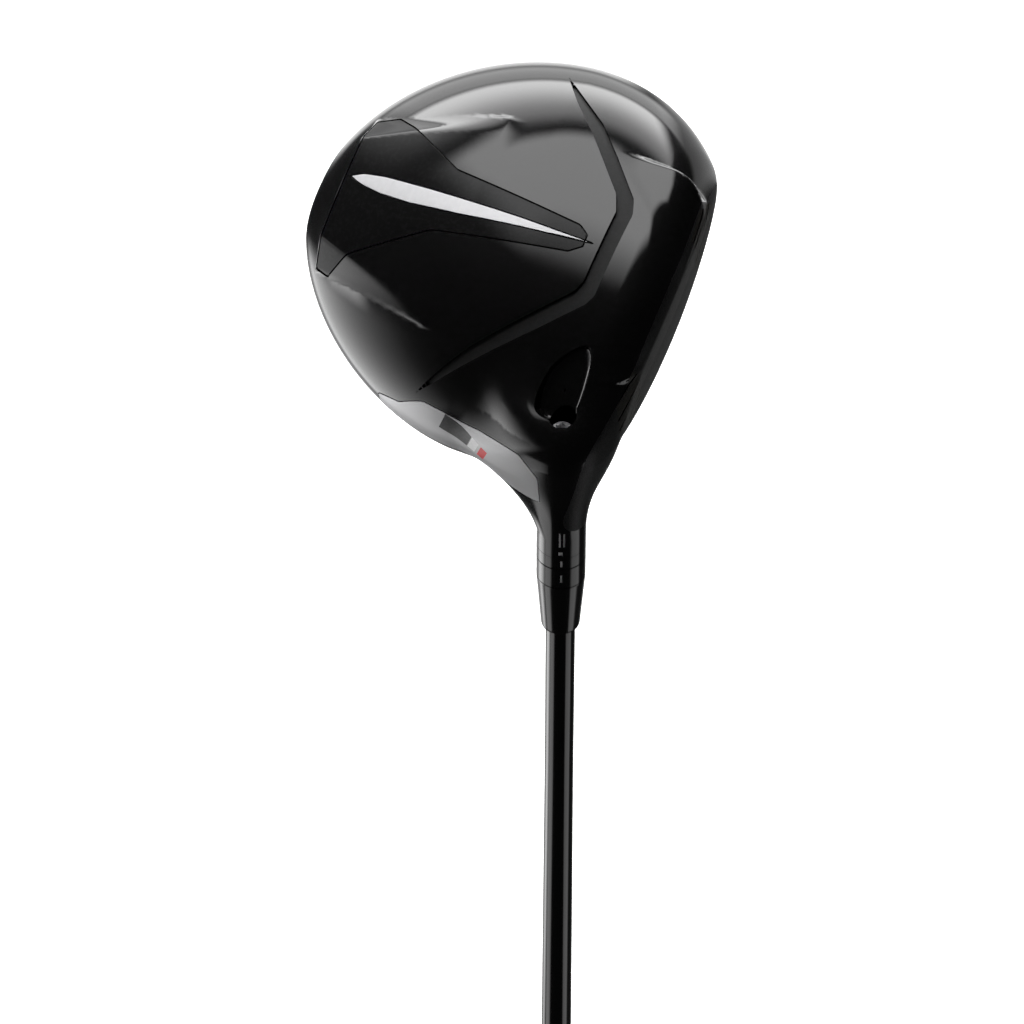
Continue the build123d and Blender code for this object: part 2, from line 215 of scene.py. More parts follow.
def depth_inside(flat, outline):
    """Distance of flat points inside an outline, negative outside."""
    best = np.full(len(flat), 1e9)
    odd = np.zeros(len(flat), bool)
    for start, end in zip(outline, np.roll(outline, -1, 0)):
        along = end - start
        share = np.clip((flat - start) @ along / (along @ along), 0, 1)
        best = np.minimum(best, np.linalg.norm(flat - start - share[:, None] * along, axis=1))
        spans = (start[1] > flat[:, 1]) != (end[1] > flat[:, 1])
        crossing = start[0] + along[0] * (flat[:, 1] - start[1]) / (along[1] or 1e-9)
        odd ^= spans & (flat[:, 0] < crossing)
    return np.where(odd, best, -best)


def on_sole(outline):
    """Field of an outline on the underside of the head."""
    return lambda p: np.minimum(depth_inside(p[:, :2], outline), 26.5 - p[:, 2])


def from_axis(p):
    """Distance of a point from the shaft axis."""
    return np.hypot(p[:, 1], LEAN_S * p[:, 0] + LEAN_C * p[:, 2])


def cut(mesh, bit, field):
    """Splits triangles where a field crosses zero, and sets a bit on those above it."""
    points, tris, tags = mesh
    value = field(points)
    value = np.where(np.abs(value) < 1e-4, 1e-4, value)
    above = value[tris] > 0
    count = above.sum(1)
    mixed = (count == 1) | (count == 2)
    single = count[mixed] == 1
    turn = np.argmax(above[mixed] == single[:, None], 1)
    ring = np.take_along_axis(tris[mixed], (turn[:, None] + np.arange(3)) % 3, 1)
    sides = np.sort(np.stack([ring[:, [0, 1]], ring[:, [0, 2]]], 1).reshape(-1, 2), 1)
    sides, back = np.unique(sides, axis=0, return_inverse=True)
    share = value[sides[:, 0]] / (value[sides[:, 0]] - value[sides[:, 1]])
    fresh = points[sides[:, 0]] + share[:, None] * (points[sides[:, 1]] - points[sides[:, 0]])
    near, far = (len(points) + back.reshape(-1, 2)).T
    tip, left, right = ring.T
    tris = np.vstack([
        tris[~mixed],
        np.stack([tip, near, far], 1),
        np.stack([near, left, right], 1),
        np.stack([near, right, far], 1),
    ])
    old = tags[mixed]
    tags = np.concatenate([
        tags[~mixed] | bit * (count[~mixed] == 3),
        old | bit * single,
        old | bit * ~single,
        old | bit * ~single,
    ])
    return np.vstack([points, fresh]), tris, tags


def rim_of(tris):
    """Edges that only one of the triangles has, running its way."""
    edges = np.vstack([tris[:, [0, 1]], tris[:, [1, 2]], tris[:, [2, 0]]])
    key = np.sort(edges, 1)
    _, first, count = np.unique(key, axis=0, return_index=True, return_counts=True)
    return edges[first[count == 1]]


class Solid:
    """Gathers patches of points in the head frame, with their normals and finishes."""

    def __init__(self):
        self.points, self.normals, self.faces, self.slots, self.total = [], [], [], [], 0

    def patch(self, points, normals, faces, finish=0):
        if not len(faces):
            return
        used, local = np.unique(faces, return_inverse=True)
        faces = local.reshape(faces.shape)
        self.points.append(points[used])
        self.normals.append(normals[used])
        self.faces += (faces + self.total).tolist()
        self.slots += [finish] * len(faces)
        self.total += len(used)

    def wall(self, edges, top, bottom, finish=0):
        """A wall under each edge, from its top points down to its bottom points."""
        if not len(edges):
            return
        a, b = edges.T
        corners = np.stack([top[b], top[a], bottom[a], bottom[b]], 1)
        out = np.cross(top[b] - top[a], bottom[a] - top[a])
        out /= np.maximum(np.linalg.norm(out, axis=1), 1e-9)[:, None]
        smooth = np.zeros((len(top), 3))
        np.add.at(smooth, a, -out)
        np.add.at(smooth, b, -out)
        smooth /= np.maximum(np.linalg.norm(smooth, axis=1), 1e-9)[:, None]
        normals = np.stack([smooth[b], smooth[a], smooth[a], smooth[b]], 1)
        sharp = (np.abs((normals * -out[:, None, :]).sum(2)) < 0.8)[..., None]
        normals = np.where(sharp, -out[:, None, :], normals)
        quads = np.arange(4 * len(edges)).reshape(-1, 4)[:, ::-1]
        self.patch(corners.reshape(-1, 3), normals.reshape(-1, 3), quads, finish)

    def build(self, name, finishes, to_row=True):
        """The mesh object, in metres in the row frame."""
        points, normals = np.vstack(self.points), np.vstack(self.normals)
        if to_row:
            points, normals = points @ HEAD.T + (0, 0, GROUND), normals @ HEAD.T
        mesh = bpy.data.meshes.new(name)
        mesh.from_pydata((points * 0.001).tolist(), [], self.faces)
        for finish in finishes:
            mesh.materials.append(finish)
        mesh.polygons.foreach_set("material_index", np.array(self.slots, np.int32))
        mesh.polygons.foreach_set("use_smooth", np.ones(len(self.faces), bool))
        mesh.normals_split_custom_set_from_vertices(normals.tolist())
        mesh.update()
        thing = bpy.data.objects.new(name, mesh)
        bpy.context.scene.collection.objects.link(thing)
        return thing


class Wire:
    """One output of a shader node, usable in plain arithmetic."""

    def __init__(self, finish, socket):
        self.finish, self.socket = finish, socket

    def math(self, kind, *values):
        return self.finish.node("ShaderNodeMath", dict(enumerate(values)), operation=kind)

    def __add__(self, other):
        return self.math("ADD", self, other)

    def __sub__(self, other):
        return self.math("SUBTRACT", self, other)

    def __rsub__(self, other):
        return self.math("SUBTRACT", other, self)

    def __mul__(self, other):
        return self.math("MULTIPLY", self, other)

    __radd__ = __add__
    __rmul__ = __mul__

    def ramp(self, low, high):
        """0 below low, 1 above high, smooth between."""
        inputs = {"Value": self, "From Min": low, "From Max": high}
        return self.finish.node("ShaderNodeMapRange", inputs, interpolation_type="SMOOTHSTEP")


class Finish:
    """A material with one Principled shader."""

    def __init__(self, name, color, **values):
        self.material = bpy.data.materials.new(name)
        self.material.use_nodes = True
        self.tree = self.material.node_tree
        self.shader = self.tree.nodes["Principled BSDF"]
        self.set("Base Color", (*color, 1.0))
        for key, value in values.items():
            self.set(key.replace("_", " "), value)

    def node(self, kind, inputs=None, output=0, **settings):
        made = self.tree.nodes.new(kind)
        for key, value in settings.items():
            setattr(made, key, value)
        for key, value in (inputs or {}).items():
            self.feed(made.inputs[key], value)
        return Wire(self, made.outputs[output])

    def feed(self, socket, value):
        if isinstance(value, Wire):
            self.tree.links.new(value.socket, socket)
        else:
            socket.default_value = value

    def set(self, key, value):
        self.feed(self.shader.inputs[key], value)

    def place(self):
        return self.node("ShaderNodeTexCoord", output="Object")

    def noise(self, scale, detail=2.0, stretch=(1, 1, 1)):
        where = self.node("ShaderNodeMapping", {"Vector": self.place(), "Scale": stretch})
        return self.node("ShaderNodeTexNoise", {"Vector": where, "Scale": scale, "Detail": detail})

    def mix(self, share, first, second):
        made = self.tree.nodes.new("ShaderNodeMix")
        made.data_type = "RGBA"
        self.feed(made.inputs[0], share)
        self.feed(made.inputs[6], first if isinstance(first, Wire) else (*first, 1.0))
        self.feed(made.inputs[7], second if isinstance(second, Wire) else (*second, 1.0))
        return Wire(self, made.outputs[2])

    def bump(self, height, strength, distance=0.0001):
        inputs = {"Height": height, "Strength": strength, "Distance": distance}
        self.set("Normal", self.node("ShaderNodeBump", inputs))


def gloss(name, color=(0.0022, 0.0022, 0.0024), speck=(0.0045, 0.0045, 0.005), coat=1.0):
    """Deep black enamel under clear lacquer, with a faint unevenness."""
    finish = Finish(name, color, Specular_IOR_Level=0.05, Coat_Weight=coat, Coat_Roughness=0.035)
    finish.set("Base Color", finish.mix(finish.noise(900.0).ramp(0.45, 0.7), color, speck))
    finish.set("Roughness", finish.noise(40.0) * 0.1 + 0.3)
    finish.bump(finish.noise(350.0, 3.0), 0.012)
    return finish.material


def satin(name, color, other, rough=0.4, grain=1500.0, metal=0.0, shine=0.5):
    """An even satin coat with a fine grain."""
    finish = Finish(name, color, Metallic=metal, Specular_IOR_Level=shine)
    finish.set("Base Color", finish.mix(finish.noise(grain, 3.0).ramp(0.3, 0.7), color, other))
    finish.set("Roughness", finish.noise(grain * 0.3) * 0.12 + (rough - 0.06))
    finish.bump(finish.noise(grain, 2.0), 0.05)
    return finish.material


black_gloss = gloss("black_lacquer")
trough_black = satin("trough_black", (0.007, 0.007, 0.0075), (0.010, 0.010, 0.0105), 0.5, shine=0.3)
groove_black = satin("groove_black", (0.0015, 0.0015, 0.0016), (0.003, 0.003, 0.003), 0.6)

FACE, CROWN, TROUGH, BED, PLATE, TIP, HOLE, TOP, LABEL, SLOT = (1 << n for n in range(10))
LINE = 0.5
TROUGH_DEPTH = 0.85
BED_DEPTH = 0.7
INLAY_DEPTH = 0.65
SCREW_WAY = 4.1
pocket_field = on_sole(rounded(POCKET))
head_points, head_quads = net((-42, -103, -2), (102, 20, 62), 0.9)
head_tris = np.vstack([head_quads[:, [0, 1, 2]], head_quads[:, [0, 2, 3]]])
skin = head_points, head_tris, np.zeros(len(head_tris), int)
skin = cut(skin, TOP, lambda p: axis_height(p) - 56)
skin = cut(skin, FACE, lambda p: smooth_min(face_ball(p) + 0.5, 47 - axis_height(p), 8))
skin = cut(skin, CROWN, lambda p: np.minimum(p[:, 2] - 30, neck(p) - 0.5))
skin = cut(skin, TROUGH, on_sole(CHANNEL))
for shape in (PANEL, BADGE):
    skin = cut(skin, BED, on_sole(shape))
skin = cut(skin, BED | SLOT, lambda p: on_sole(SPEAR)(p) + 0.35)
skin = cut(skin, PLATE, lambda p: on_sole(PANEL)(p) - LINE)
skin = cut(skin, TIP, lambda p: on_sole(SPEAR)(p) - 0.05)
skin = cut(skin, LABEL, lambda p: on_sole(BADGE)(p) - 0.2)


def screw_way(p):
    """Above 0 in the round way that the screw's wrench goes up."""
    return SCREW_WAY - from_axis(p)


skin = cut(skin, HOLE, lambda p: np.maximum(pocket_field(p), np.where(axis_height(p) < 20, screw_way(p), -9)))
points, tris, tags = skin
normals = outward(points)


def pick(wanted, refused=0):
    """Triangles that have all the wanted bits and none of the refused ones."""
    return tris[((tags & wanted) == wanted) & ((tags & refused) == 0)]


def sunk(depth):
    """The head's surface moved inwards."""
    return points - normals * depth


body = Solid()
outside = FACE | CROWN | TOP | HOLE
body.patch(points, normals, pick(0, outside | TROUGH | BED), 0)
trough = pick(TROUGH, outside | BED)
body.patch(sunk(TROUGH_DEPTH), normals, trough, 1)
body.wall(rim_of(trough), points, sunk(TROUGH_DEPTH), 0)
bed = pick(BED, outside)
body.patch(sunk(BED_DEPTH), normals, bed, 2)
body.wall(rim_of(bed), points, sunk(BED_DEPTH), 2)

# scooped pocket, from its rim to a sloping floor, with the round way to the screw
rim = rim_of(pick(HOLE))
follow = dict(rim.tolist())
loop = [rim[0, 0]]
while follow[loop[-1]] != loop[0] and len(loop) <= len(rim):
    loop.append(follow[loop[-1]])
edge = points[loop]
middle = np.array([3.0, -2.5])
rings = []
for share in np.concatenate([np.linspace(1, 0.7, 9), np.linspace(0.6, 0.04, 10)]):
    flat = middle + (edge[:, :2] - middle) * share
    floor_height = 10.4 - 0.29 * (flat[:, 0] + 6.5)
    drop = (1 - np.clip((share - 0.66) / 0.34, 0, 1) ** 2.4) ** (1 / 2.4)
    height = edge[:, 2] + (np.maximum(floor_height, edge[:, 2] + 0.2) - edge[:, 2]) * drop
    rings.append(np.column_stack([flat, height]))
scoop = np.vstack(rings)
count = len(loop)
quads = []
for ring in range(len(rings) - 1):
    here, there = ring * count + np.arange(count), ring * count + (np.arange(count) + 1) % count
    quads.append(np.stack([here, there, there + count, here + count], 1))
quads = np.vstack(quads)
pocket = scoop, np.vstack([quads[:, [0, 1, 2]], quads[:, [0, 2, 3]]]), np.zeros(2 * len(quads), int)
pocket = cut(pocket, HOLE, screw_way)
scoop, scoop_tris, scoop_tags = pocket
lean = np.zeros_like(scoop)
first, second, third = (scoop[scoop_tris[:, corner]] for corner in range(3))
sides = np.cross(second - first, third - first)
for corner in range(3):
    np.add.at(lean, scoop_tris[:, corner], sides)
lean /= np.maximum(np.linalg.norm(lean, axis=1), 1e-9)[:, None]
flip = -1 if lean[len(scoop) // 2, 2] > 0 else 1
order = scoop_tris[scoop_tags == 0]
body.patch(scoop, lean * flip, order if flip == 1 else order[:, ::-1], 0)
shaft_way = np.array([LEAN_C, 0, -LEAN_S])
mouth = rim_of(order)
mouth = mouth[(from_axis(scoop)[mouth] < 4.2).all(1)]
seat_drop = (axis_height(scoop) - 16.5)[:, None]
body.wall(mouth, scoop, scoop + seat_drop * shaft_way, 0)


def turn_about_axis(profile, steps=96):
    """A lathe-turned surface about the shaft axis from (radius, row height) points."""
    into = Solid()
    angle = np.linspace(0, 2 * np.pi, steps, endpoint=False)
    for (r0, z0), (r1, z1) in zip(profile[:-1], profile[1:]):
        length = np.hypot(r1 - r0, z1 - z0) or 1.0
        across, along = (z1 - z0) / length, -(r1 - r0) / length
        ring = np.stack([np.cos(angle), np.sin(angle)], 1)
        ends = (r0, z0), (r1, z1)
        places = np.vstack([np.column_stack([ring * r, np.full(steps, z)]) for r, z in ends])
        facing = np.vstack([np.column_stack([ring * across, np.full(steps, along)])] * 2)
        here, there = np.arange(steps), (np.arange(steps) + 1) % steps
        into.patch(places, facing, np.stack([here, there, there + steps, here + steps], 1), 0)
    return into


def in_head(solid):
    """Row-frame patches of a solid moved into the head frame."""
    solid.points = [(p - (0, 0, GROUND)) @ HEAD for p in solid.points]
    solid.normals = [n @ HEAD for n in solid.normals]
    return solid


bore_profile = [(7, 1100), (5.25, 1100), (5.25, 1134), (2.75, 1134), (2.75, 1138.5), (4.1, 1139.5)]
bore = in_head(turn_about_axis(bore_profile, 64))
bore.normals = [-n for n in bore.normals]
for patch_points, patch_normals in zip(bore.points, bore.normals):
    steps = len(patch_points) // 2
    here, there = np.arange(steps), (np.arange(steps) + 1) % steps
    body.patch(patch_points, patch_normals, np.stack([here + steps, there + steps, there, here], 1), 0)
shell = pick(0, FACE | CROWN | TOP | HOLE)
outer_rim = rim_of(shell)
outer_rim = outer_rim[axis_height(points[outer_rim[:, 0]]) < 55.9]
body.wall(outer_rim, points, sunk(1.2), 2)
cast_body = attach(body.build("cast_body", [black_gloss, trough_black, groove_black]), "head")
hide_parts("head_body")


# ---------------------------------------------------------------- crown
# Thin titanium crown, welded on along a line above the widest part of the head and
# painted with it.


def thin_piece(name, piece_tris, thickness, finish):
    """A shell with its back and its edge, from triangles of the head's surface."""
    solid = Solid()
    solid.patch(points, normals, piece_tris)
    back = sunk(thickness)
    solid.patch(back, -normals, piece_tris[:, ::-1])
    solid.wall(rim_of(piece_tris), points, back)
    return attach(solid.build(name, [finish]), "head")


crown_shell = thin_piece("crown_shell", pick(CROWN, FACE | TOP | HOLE), 0.8, gloss("crown_lacquer"))
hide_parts("crown")

# ---------------------------------------------------------------- face
# Forged titanium plate, blasted dark, with lines cut at the toe and the heel of its
# plain middle.
face_tris = pick(FACE, TOP | HOLE)
own, face_tris = np.unique(face_tris, return_inverse=True)
plate = points[own], face_tris.reshape(-1, 3), np.zeros(face_tris.size // 3, int)
heights = [11.0 + 4.4 * n for n in range(8)]
for number, height in enumerate(heights):
    plate = cut(plate, 1 << (2 * number), lambda p: p[:, 2] - height + 0.35)
    plate = cut(plate, 2 << (2 * number), lambda p: p[:, 2] - height - 0.35)
plate = cut(plate, 1 << 16, lambda p: np.abs(p[:, 0] - 34.5) - 20)
plate = cut(plate, 1 << 17, lambda p: 36 * bow(p[:, 2] - 27, 30, 2.0) - np.abs(p[:, 0] - 34.5))
plate = cut(plate, 1 << 18, lambda p: p[:, 2] - 9)
front, front_tris, front_tags = plate
levels = sum(((front_tags >> bit) & 1) for bit in range(16))
grooved = (levels % 2 == 1) & ((front_tags >> 16) & 3 == 3)
toothed = ((front_tags >> 16) & 7 == 7) & ~grooved
front_normals = outward(front)
face_solid = Solid()
face_solid.patch(front, front_normals, front_tris[~grooved & ~toothed], 0)
face_solid.patch(front, front_normals, front_tris[toothed], 1)
face_solid.patch(front - front_normals * 0.3, front_normals, front_tris[grooved], 2)
face_solid.wall(rim_of(front_tris[grooved]), front, front - front_normals * 0.3, 2)
face_solid.patch(front - front_normals * 2.0, -front_normals, front_tris[:, ::-1], 0)
face_solid.wall(rim_of(front_tris), front, front - front_normals * 2.0, 0)


def blasted(name, color, other):
    """Dark blasted titanium: a fine grain with a dull metal sheen."""
    finish = Finish(name, color, Metallic=0.55, Specular_IOR_Level=0.4)
    finish.set("Base Color", finish.mix(finish.noise(2600.0, 3.0).ramp(0.3, 0.7), color, other))
    finish.set("Roughness", finish.noise(1200.0) * 0.15 + 0.42)
    finish.bump(finish.noise(2200.0, 2.0), 0.25, 0.0002)
    return finish.material


face_finishes = [
    blasted("blasted_titanium", (0.035, 0.035, 0.036), (0.06, 0.06, 0.061)),
    blasted("milled_titanium", (0.05, 0.048, 0.042), (0.075, 0.072, 0.062)),
    blasted("score_line", (0.012, 0.012, 0.012), (0.02, 0.02, 0.02)),
]
striking_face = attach(face_solid.build("striking_face", face_finishes), "head")
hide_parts("face_plate")

# ---------------------------------------------------------------- sole pieces
# A satin black panel with a spear of silver aluminium in it, and a grey badge on the
# heel with slanted bars. Each is glued flush in its bed, with a dark line round it.
panel_finish = gloss("panel_black", (0.003, 0.003, 0.0032), (0.006, 0.006, 0.0065), 0.35)
plate_tris = pick(PLATE | BED, FACE | SLOT | HOLE | TROUGH)
sole_plate = thin_piece("sole_plate", plate_tris, INLAY_DEPTH, panel_finish)
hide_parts("sole_panel")

silver = Finish("satin_aluminium", (0.8, 0.8, 0.81), Metallic=1.0)
BRUSHING = (1, 1, 0.1)
brushed = silver.noise(700.0, 3.0, BRUSHING)
silver.set("Base Color", silver.mix(brushed, (0.56, 0.56, 0.57), (0.66, 0.66, 0.67)))
silver.set("Roughness", silver.noise(900.0, 2.0, BRUSHING) * 0.1 + 0.4)
silver.bump(silver.noise(1800.0, 2.0, (1, 1, 0.08)), 0.05)
spear = thin_piece("spear", pick(TIP, TROUGH | FACE), INLAY_DEPTH, silver.material)
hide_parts("spear_inlay")

badge_tris = pick(LABEL, FACE | CROWN | TOP | HOLE)
own, badge_local = np.unique(badge_tris, return_inverse=True)
BARS = [(-36.5, 5.6), (-31.2, 4.6), (-26.4, 2.6), (-22.9, 2.4)]
label = points[own], badge_local.reshape(-1, 3), np.zeros(badge_local.size // 3, int)
for number, (start, width) in enumerate(BARS):
    span = lambda p: width / 2 - np.abs(p[:, 1] + 0.45 * (p[:, 2] - 19) - start - width / 2)
    label = cut(label, 1 << number, span)
label = cut(label, 16, lambda p: 2.2 - np.abs(p[:, 2] - 17.4 - 0.22 * (p[:, 1] + 30)))
label_points, label_tris, label_tags = label
label_normals = outward(label_points)
label_slots = np.zeros(len(label_tris), int)
for number, ink in enumerate((1, 1, 2, 3)):
    label_slots[((label_tags >> number) & 1 == 1) & (label_tags & 16 == 16)] = ink
badge = Solid()
for number in range(4):
    badge.patch(label_points, label_normals, label_tris[label_slots == number], number)
label_back = label_points - label_normals * INLAY_DEPTH
badge.patch(label_back, -label_normals, label_tris[:, ::-1], 0)
badge.wall(rim_of(label_tris), label_points, label_back, 0)
grey = Finish("badge_grey", (0.3, 0.3, 0.31), Metallic=0.2, Coat_Weight=0.3, Coat_Roughness=0.2)
# The badge's grey runs from light at one end to mid grey at the other. The light end is a painted reflection
# of the side light, not a tone of the paint.
painted_sheen_across = grey.node("ShaderNodeSeparateXYZ", {"Vector": grey.place()}, output=0)
grey.set("Base Color", grey.mix(painted_sheen_across.ramp(-0.058, 0.0), (0.62, 0.62, 0.63), (0.36, 0.36, 0.365)))
grey.set("Roughness", grey.noise(600.0) * 0.1 + 0.4)
inks = [
    satin("badge_ink", (0.03, 0.03, 0.031), (0.045, 0.045, 0.046), 0.4),
    satin("badge_white", (0.8, 0.8, 0.8), (0.88, 0.88, 0.88), 0.4),
    satin("badge_red", (0.62, 0.006, 0.008), (0.7, 0.01, 0.012), 0.35),
]
heel_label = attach(badge.build("heel_label", [grey.material, *inks]), "head")
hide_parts("heel_badge")

# ---------------------------------------------------------------- hosel fittings
# Black anodised ring and sleeve collar and a polished plastic ferrule, all turned to
# the hosel's own diameter, with small painted index marks.


def turned_piece(name, body_name, nodes, finish, profile, steps=96):
    """A lathe-turned piece that rides on a body and stands for CAD nodes."""
    thing = turn_about_axis(profile, steps).build(name, [finish], to_row=False)
    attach(thing, body_name)
    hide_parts(*nodes)
    return thing


anodised = gloss("black_anodised", (0.003, 0.003, 0.0032), (0.005, 0.005, 0.0055))
ring_profile = [
    (5.25, 1095.6), (6.85, 1095.6), (7.0, 1095.75), (7.0, 1099.85), (6.85, 1100.0), (5.25, 1100.0),
    (5.25, 1095.6)
]
turned_piece("index_ring", "ring", ["adapter_ring"], anodised, ring_profile)
sleeve_profile = [
    (4.3, 1088.05), (6.85, 1088.05), (7.0, 1088.2), (7.0, 1095.3), (6.85, 1095.45), (5.2, 1095.45),
    (5.2, 1128.4), (4.6, 1129.0), (2.5, 1129.0), (2.5, 1119.5), (0.01, 1119.5),
]
turned_piece("tip_sleeve", "shaft_unit", ["shaft_sleeve"], anodised, sleeve_profile)
ferrule_gloss = gloss("ferrule_black")
ferrule_profile = [
    (4.2, 1068.0), (5.1, 1068.0), (5.5, 1068.3), (5.62, 1068.9), (6.98, 1087.5), (6.98, 1087.85),
    (4.3, 1087.95)
]
turned_piece("shaft_ferrule", "shaft_unit", ["ferrule"], ferrule_gloss, ferrule_profile)

ink_white = satin("index_white", (0.75, 0.75, 0.75), (0.85, 0.85, 0.85), 0.4)


def index_mark(name, body_name, spots):
    """Thin raised dashes of paint on the 14 mm hosel: (low, high, angle, half width)."""
    solid = Solid()
    for low, high, angle, half in spots:
        turn = np.radians(angle) + np.linspace(-half, half, 7) / 7.0
        ring = np.stack([np.cos(turn), np.sin(turn)], 1)
        for r, sign in ((7.03, 1), (6.96, -1)):
            places = np.vstack([np.column_stack([ring * r, np.full(7, z)]) for z in (low, high)])
            facing = np.vstack([np.column_stack([ring, np.zeros(7)])] * 2) * sign
            here = np.arange(6)
            quads = np.stack([here, here + 1, here + 8, here + 7], 1)
            solid.patch(places, facing, quads[:, ::sign], 0)
    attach(solid.build(name, [ink_white], to_row=False), body_name)


hosel_spots = [(1101.2, 1102.4, -66, 0.6), (1104.4, 1110.5, -68, 0.25), (1104.4, 1110.5, -58, 0.25)]
index_mark("hosel_index", "head", hosel_spots)
index_mark("ring_index", "ring", [(1096.6, 1099.0, -64, 0.3)])
index_mark("sleeve_index", "shaft_unit", [(1090.6, 1093.4, -64, 0.25)])

# ---------------------------------------------------------------- shaft
# Tapered tube of wrapped graphite under gloss black lacquer. Its tip is glued in the
# sleeve, and its butt end is under the grip.
shaft_gloss = gloss("shaft_lacquer")
taper = [(7.6 - 3.35 * share, 4.0 + 1004.0 * share) for share in np.linspace(0, 1, 9)]
shaft_profile = [(6.5, 4.0)] + taper + [(4.25, 1118.0), (3.15, 1118.0), (3.15, 1008.0), (6.5, 4.0)]
turned_piece("graphite_shaft", "shaft_unit", ["shaft"], shaft_gloss, shaft_profile, 72)

# ---------------------------------------------------------------- grip
# Moulded rubber sleeve, rolled with fine rings of grooves, and its butt cap with a
# vent hole.
rubber = Finish("grip_rubber", (0.012, 0.012, 0.012), Roughness=0.75, Specular_IOR_Level=0.35)
rubber.set("Base Color", rubber.mix(rubber.noise(500.0, 3.0), (0.010, 0.010, 0.010), (0.02, 0.02, 0.02)))
rubber.set("Roughness", rubber.noise(300.0) * 0.15 + 0.65)
rubber.bump(rubber.noise(1500.0, 3.0), 0.3, 0.0002)
grip_profile = [(7.8, 4.05)]
grip_heights = np.concatenate([[4.05, 6.0], np.arange(8.0, 262.0, 1.0), [266.0, 269.0, 270.0]])
for z in grip_heights:
    share = (z - 4) / 266
    radius = 13.4 - 5.0 * share + 1.9 * share * share * share * 0.42
    rolled = 0.25 * (int(z) % 4 == 0) * (10 < z < 258)
    grip_profile.append((min(radius, 13.38) - rolled, z))
grip_profile.append((6.99, 270.0))
turned_piece("rubber_grip", "shaft_unit", ["grip"], rubber.material, grip_profile)
cap_profile = [
    (1.5, 4.0), (1.5, 0.0), (11.4, 0.0), (12.3, 0.25), (13.0, 0.9), (13.35, 1.8), (13.38, 3.9),
    (13.1, 4.0), (1.5, 4.0)
]
turned_piece("butt_cap", "shaft_unit", ["grip_cap"], rubber.material, cap_profile)

# ---------------------------------------------------------------- carried-over pieces
# The screw, turned in steel and plated, and the small pieces hidden in the head and
# under the grip keep their CAD shape.
steel = Finish("plated_steel", (0.5, 0.5, 0.51), Metallic=1.0)
steel.set("Base Color", steel.mix(steel.noise(900.0), (0.6, 0.6, 0.61), (0.72, 0.72, 0.73)))
steel.set("Roughness", steel.noise(1200.0) * 0.1 + 0.36)
carried = {
    "hosel_screw": steel.material,
    "thread_patch": satin("lock_nylon", (0.03, 0.09, 0.4), (0.05, 0.12, 0.5)),
    "screw_washer": satin("washer_rubber", (0.02, 0.02, 0.02), (0.03, 0.03, 0.03), 0.7),
    "screw_retainer": satin("retainer_plastic", (0.08, 0.08, 0.08), (0.1, 0.1, 0.1), 0.5),
    "tip_plug": satin("plug_plastic", (0.08, 0.08, 0.08), (0.1, 0.1, 0.1), 0.5),
    "grip_tape": satin("paper_tape", (0.55, 0.5, 0.4), (0.62, 0.58, 0.48), 0.8),
    "rear_weight_pad": satin("bare_titanium", (0.4, 0.39, 0.38), (0.46, 0.45, 0.44), 0.45, 900.0, 1.0),
    "hot_melt_pad": satin("hot_melt_glue", (0.7, 0.6, 0.36), (0.78, 0.7, 0.45), 0.35),
}
for node, material in carried.items():
    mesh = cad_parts[node].data
    mesh.materials.clear()
    mesh.materials.append(material)

# ---------------------------------------------------------------- studio
# White floor and surround, and a dark dome with soft panels of light that the
# polished head mirrors.
AZIMUTH, ELEVATION = np.radians(26), np.radians(44)
LEVEL = np.cos(ELEVATION)
TOWARDS = np.array([np.sin(AZIMUTH) * LEVEL, -np.cos(AZIMUTH) * LEVEL, np.sin(ELEVATION)])
ASIDE = np.array([np.cos(AZIMUTH), np.sin(AZIMUTH), 0.0])
UPWARD = np.cross(TOWARDS, ASIDE)
SEAM = np.array([0, 0, 1.088])
DISTANCE = 1.325

floor_finish = Finish("pale_floor", (0.85, 0.85, 0.85), Roughness=0.9)
floor_finish.set("Emission Color", (1, 1, 1, 1))
floor_finish.set("Emission Strength", 1.0)
floor_mesh = bpy.data.meshes.new("floor")
floor_corners = [(x, y, -0.001) for x, y in ((-9, -9), (9, -9), (9, 9), (-9, 9))]
floor_mesh.from_pydata(floor_corners, [], [(0, 1, 2, 3)])
floor_mesh.materials.append(floor_finish.material)
floor = bpy.data.objects.new("floor", floor_mesh)
bpy.context.scene.collection.objects.link(floor)
floor.visible_glossy = False
floor.visible_diffuse = False

dome_light = Finish("soft_panels", (0, 0, 0), Roughness=1.0, Specular_IOR_Level=0.0)
way = dome_light.node("ShaderNodeVectorMath", {0: dome_light.place()}, operation="NORMALIZE")


def toward(vector):
    """How far the direction from the head leans towards a fixed one, from -1 to 1."""
    inputs = {0: way, 1: tuple(vector)}
    return dome_light.node("ShaderNodeVectorMath", inputs, output=1, operation="DOT_PRODUCT")


right, upper, near = toward(ASIDE), toward(UPWARD), toward(TOWARDS)
angle = dome_light.node("ShaderNodeMath", {0: near}, operation="ARCCOSINE") * 57.2958
bearing = dome_light.node("ShaderNodeMath", {0: upper, 1: right}, operation="ARCTAN2") * 57.2958


def window(value, low, high, soft_low, soft_high):
    """1 between two values, falling off over a soft width at each end."""
    rise = value.ramp(low - soft_low / 2, low + soft_low / 2)
    return rise * (1 - value.ramp(high - soft_high / 2, high + soft_high / 2))


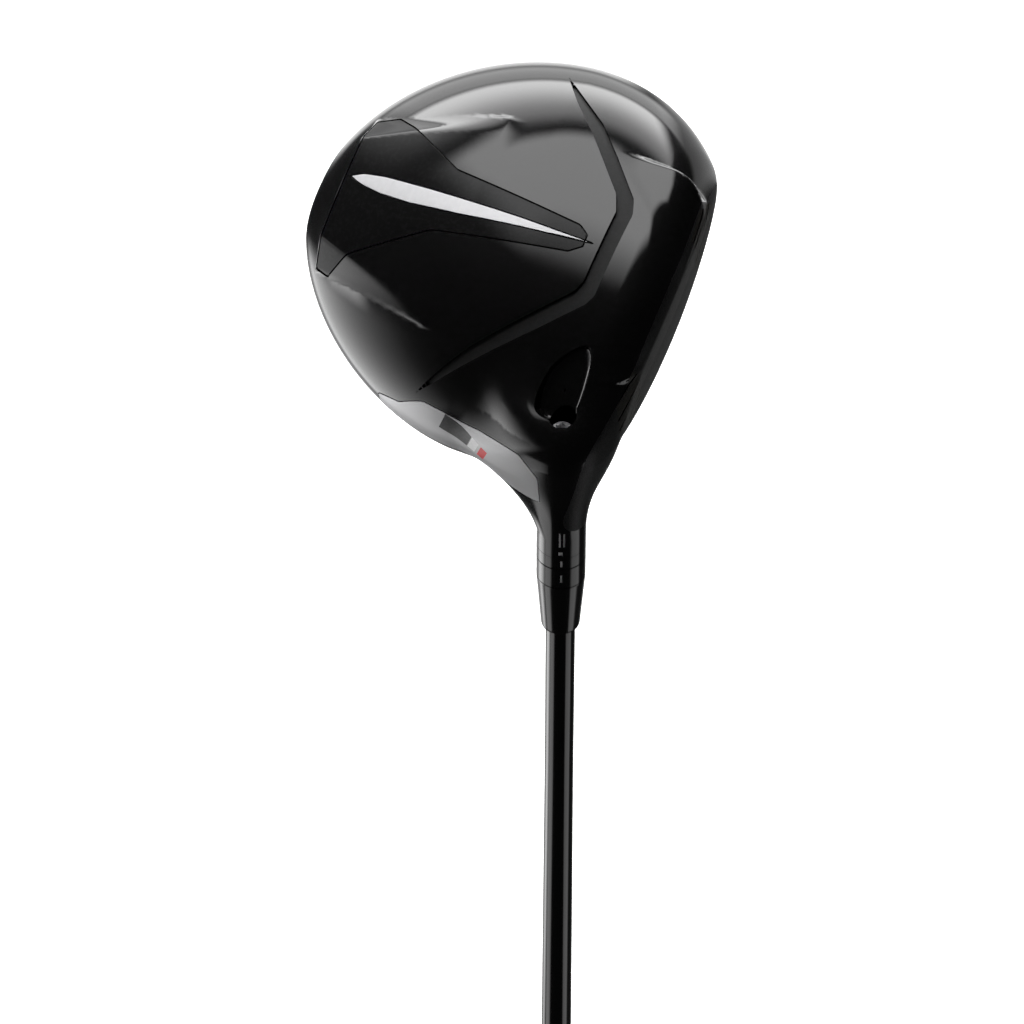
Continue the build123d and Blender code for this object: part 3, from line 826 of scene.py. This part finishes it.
# soft panels, each between two bearings and two angles off the view's own direction
light = window(bearing, 66, 131, 9, 12) * window(angle, 75, 103, 8, 6) * (2.6 + 6.2 * angle.ramp(76, 98))
light = light + window(bearing, 58, 128, 12, 12) * window(angle, 105, 128, 5, 14) * 2.4
light = light + window(bearing, 92, 128, 9, 10) * window(angle, 46, 69, 10, 5) * 4.2
around = dome_light.node("ShaderNodeMath", {0: bearing, 1: 360.0}, operation="FLOORED_MODULO")
left_fade = angle.ramp(50, 70) * (1 - angle.ramp(132, 150) * 0.88)
light = light + window(around, 172, 217, 14, 12) * (0.1 + angle.ramp(58, 115) * 3.2) * left_fade
light = light + window(around, 221, 238, 6, 8) * window(angle, 96, 122, 8, 8) * 1.4
light = light + window(around, 298, 326, 6, 8) * window(angle, 98, 120, 6, 8) * 0.9
light = light + window(around, 158, 173, 7, 8) * window(angle, 79, 103, 10, 8) * 5.0
light = light + window(bearing, 15, 62, 14, 14) * angle.ramp(98, 108) * 0.6
light = light + angle.ramp(150, 158) * 0.3
light = light + window(around, 70, 140, 14, 14) * angle.ramp(128, 138) * 2.0 + 0.02
dome_light.set("Emission Color", dome_light.node("ShaderNodeCombineXYZ", {0: light, 1: light, 2: light}))
dome_light.set("Emission Strength", 1.0)
DOME_RADIUS = 4
steps, rows = 64, 32
grid = []
for row in range(rows + 1):
    for step in range(steps):
        tilt, spin = np.pi * row / rows, 2 * np.pi * step / steps
        out = np.array([np.sin(tilt) * np.cos(spin), np.sin(tilt) * np.sin(spin), np.cos(tilt)])
        grid.append(tuple(DOME_RADIUS * out))
panes = []
for row in range(rows):
    for step in range(steps):
        here, there = row * steps + step, row * steps + (step + 1) % steps
        panes.append((here, here + steps, there + steps, there))
dome_mesh = bpy.data.meshes.new("light_dome")
dome_mesh.from_pydata(grid, [], panes)
dome_mesh.validate()
dome_mesh.materials.append(dome_light.material)
dome = bpy.data.objects.new("light_dome", dome_mesh)
bpy.context.scene.collection.objects.link(dome)
dome.location = (0, 0.04, 1.14)
dome.visible_camera = False
dome.visible_shadow = False

world = bpy.data.worlds.new("surround")
world.use_nodes = True
world.node_tree.nodes["Background"].inputs["Color"].default_value = (1, 1, 1, 1)
world.node_tree.nodes["Background"].inputs["Strength"].default_value = 1.0
bpy.context.scene.world = world
bpy.context.scene.view_settings.view_transform = "Standard"

place = SEAM + TOWARDS * DISTANCE - ASIDE * 0.01381 + UPWARD * 0.01681
camera_data = bpy.data.cameras.new("camera")
camera_data.lens = 164.9
camera_data.clip_end = 50
camera = bpy.data.objects.new("camera", camera_data)
bpy.context.scene.collection.objects.link(camera)
turning = Matrix([[ASIDE[i], UPWARD[i], TOWARDS[i], place[i]] for i in range(3)] + [[0, 0, 0, 1]])
camera.matrix_world = turning
bpy.context.scene.camera = camera
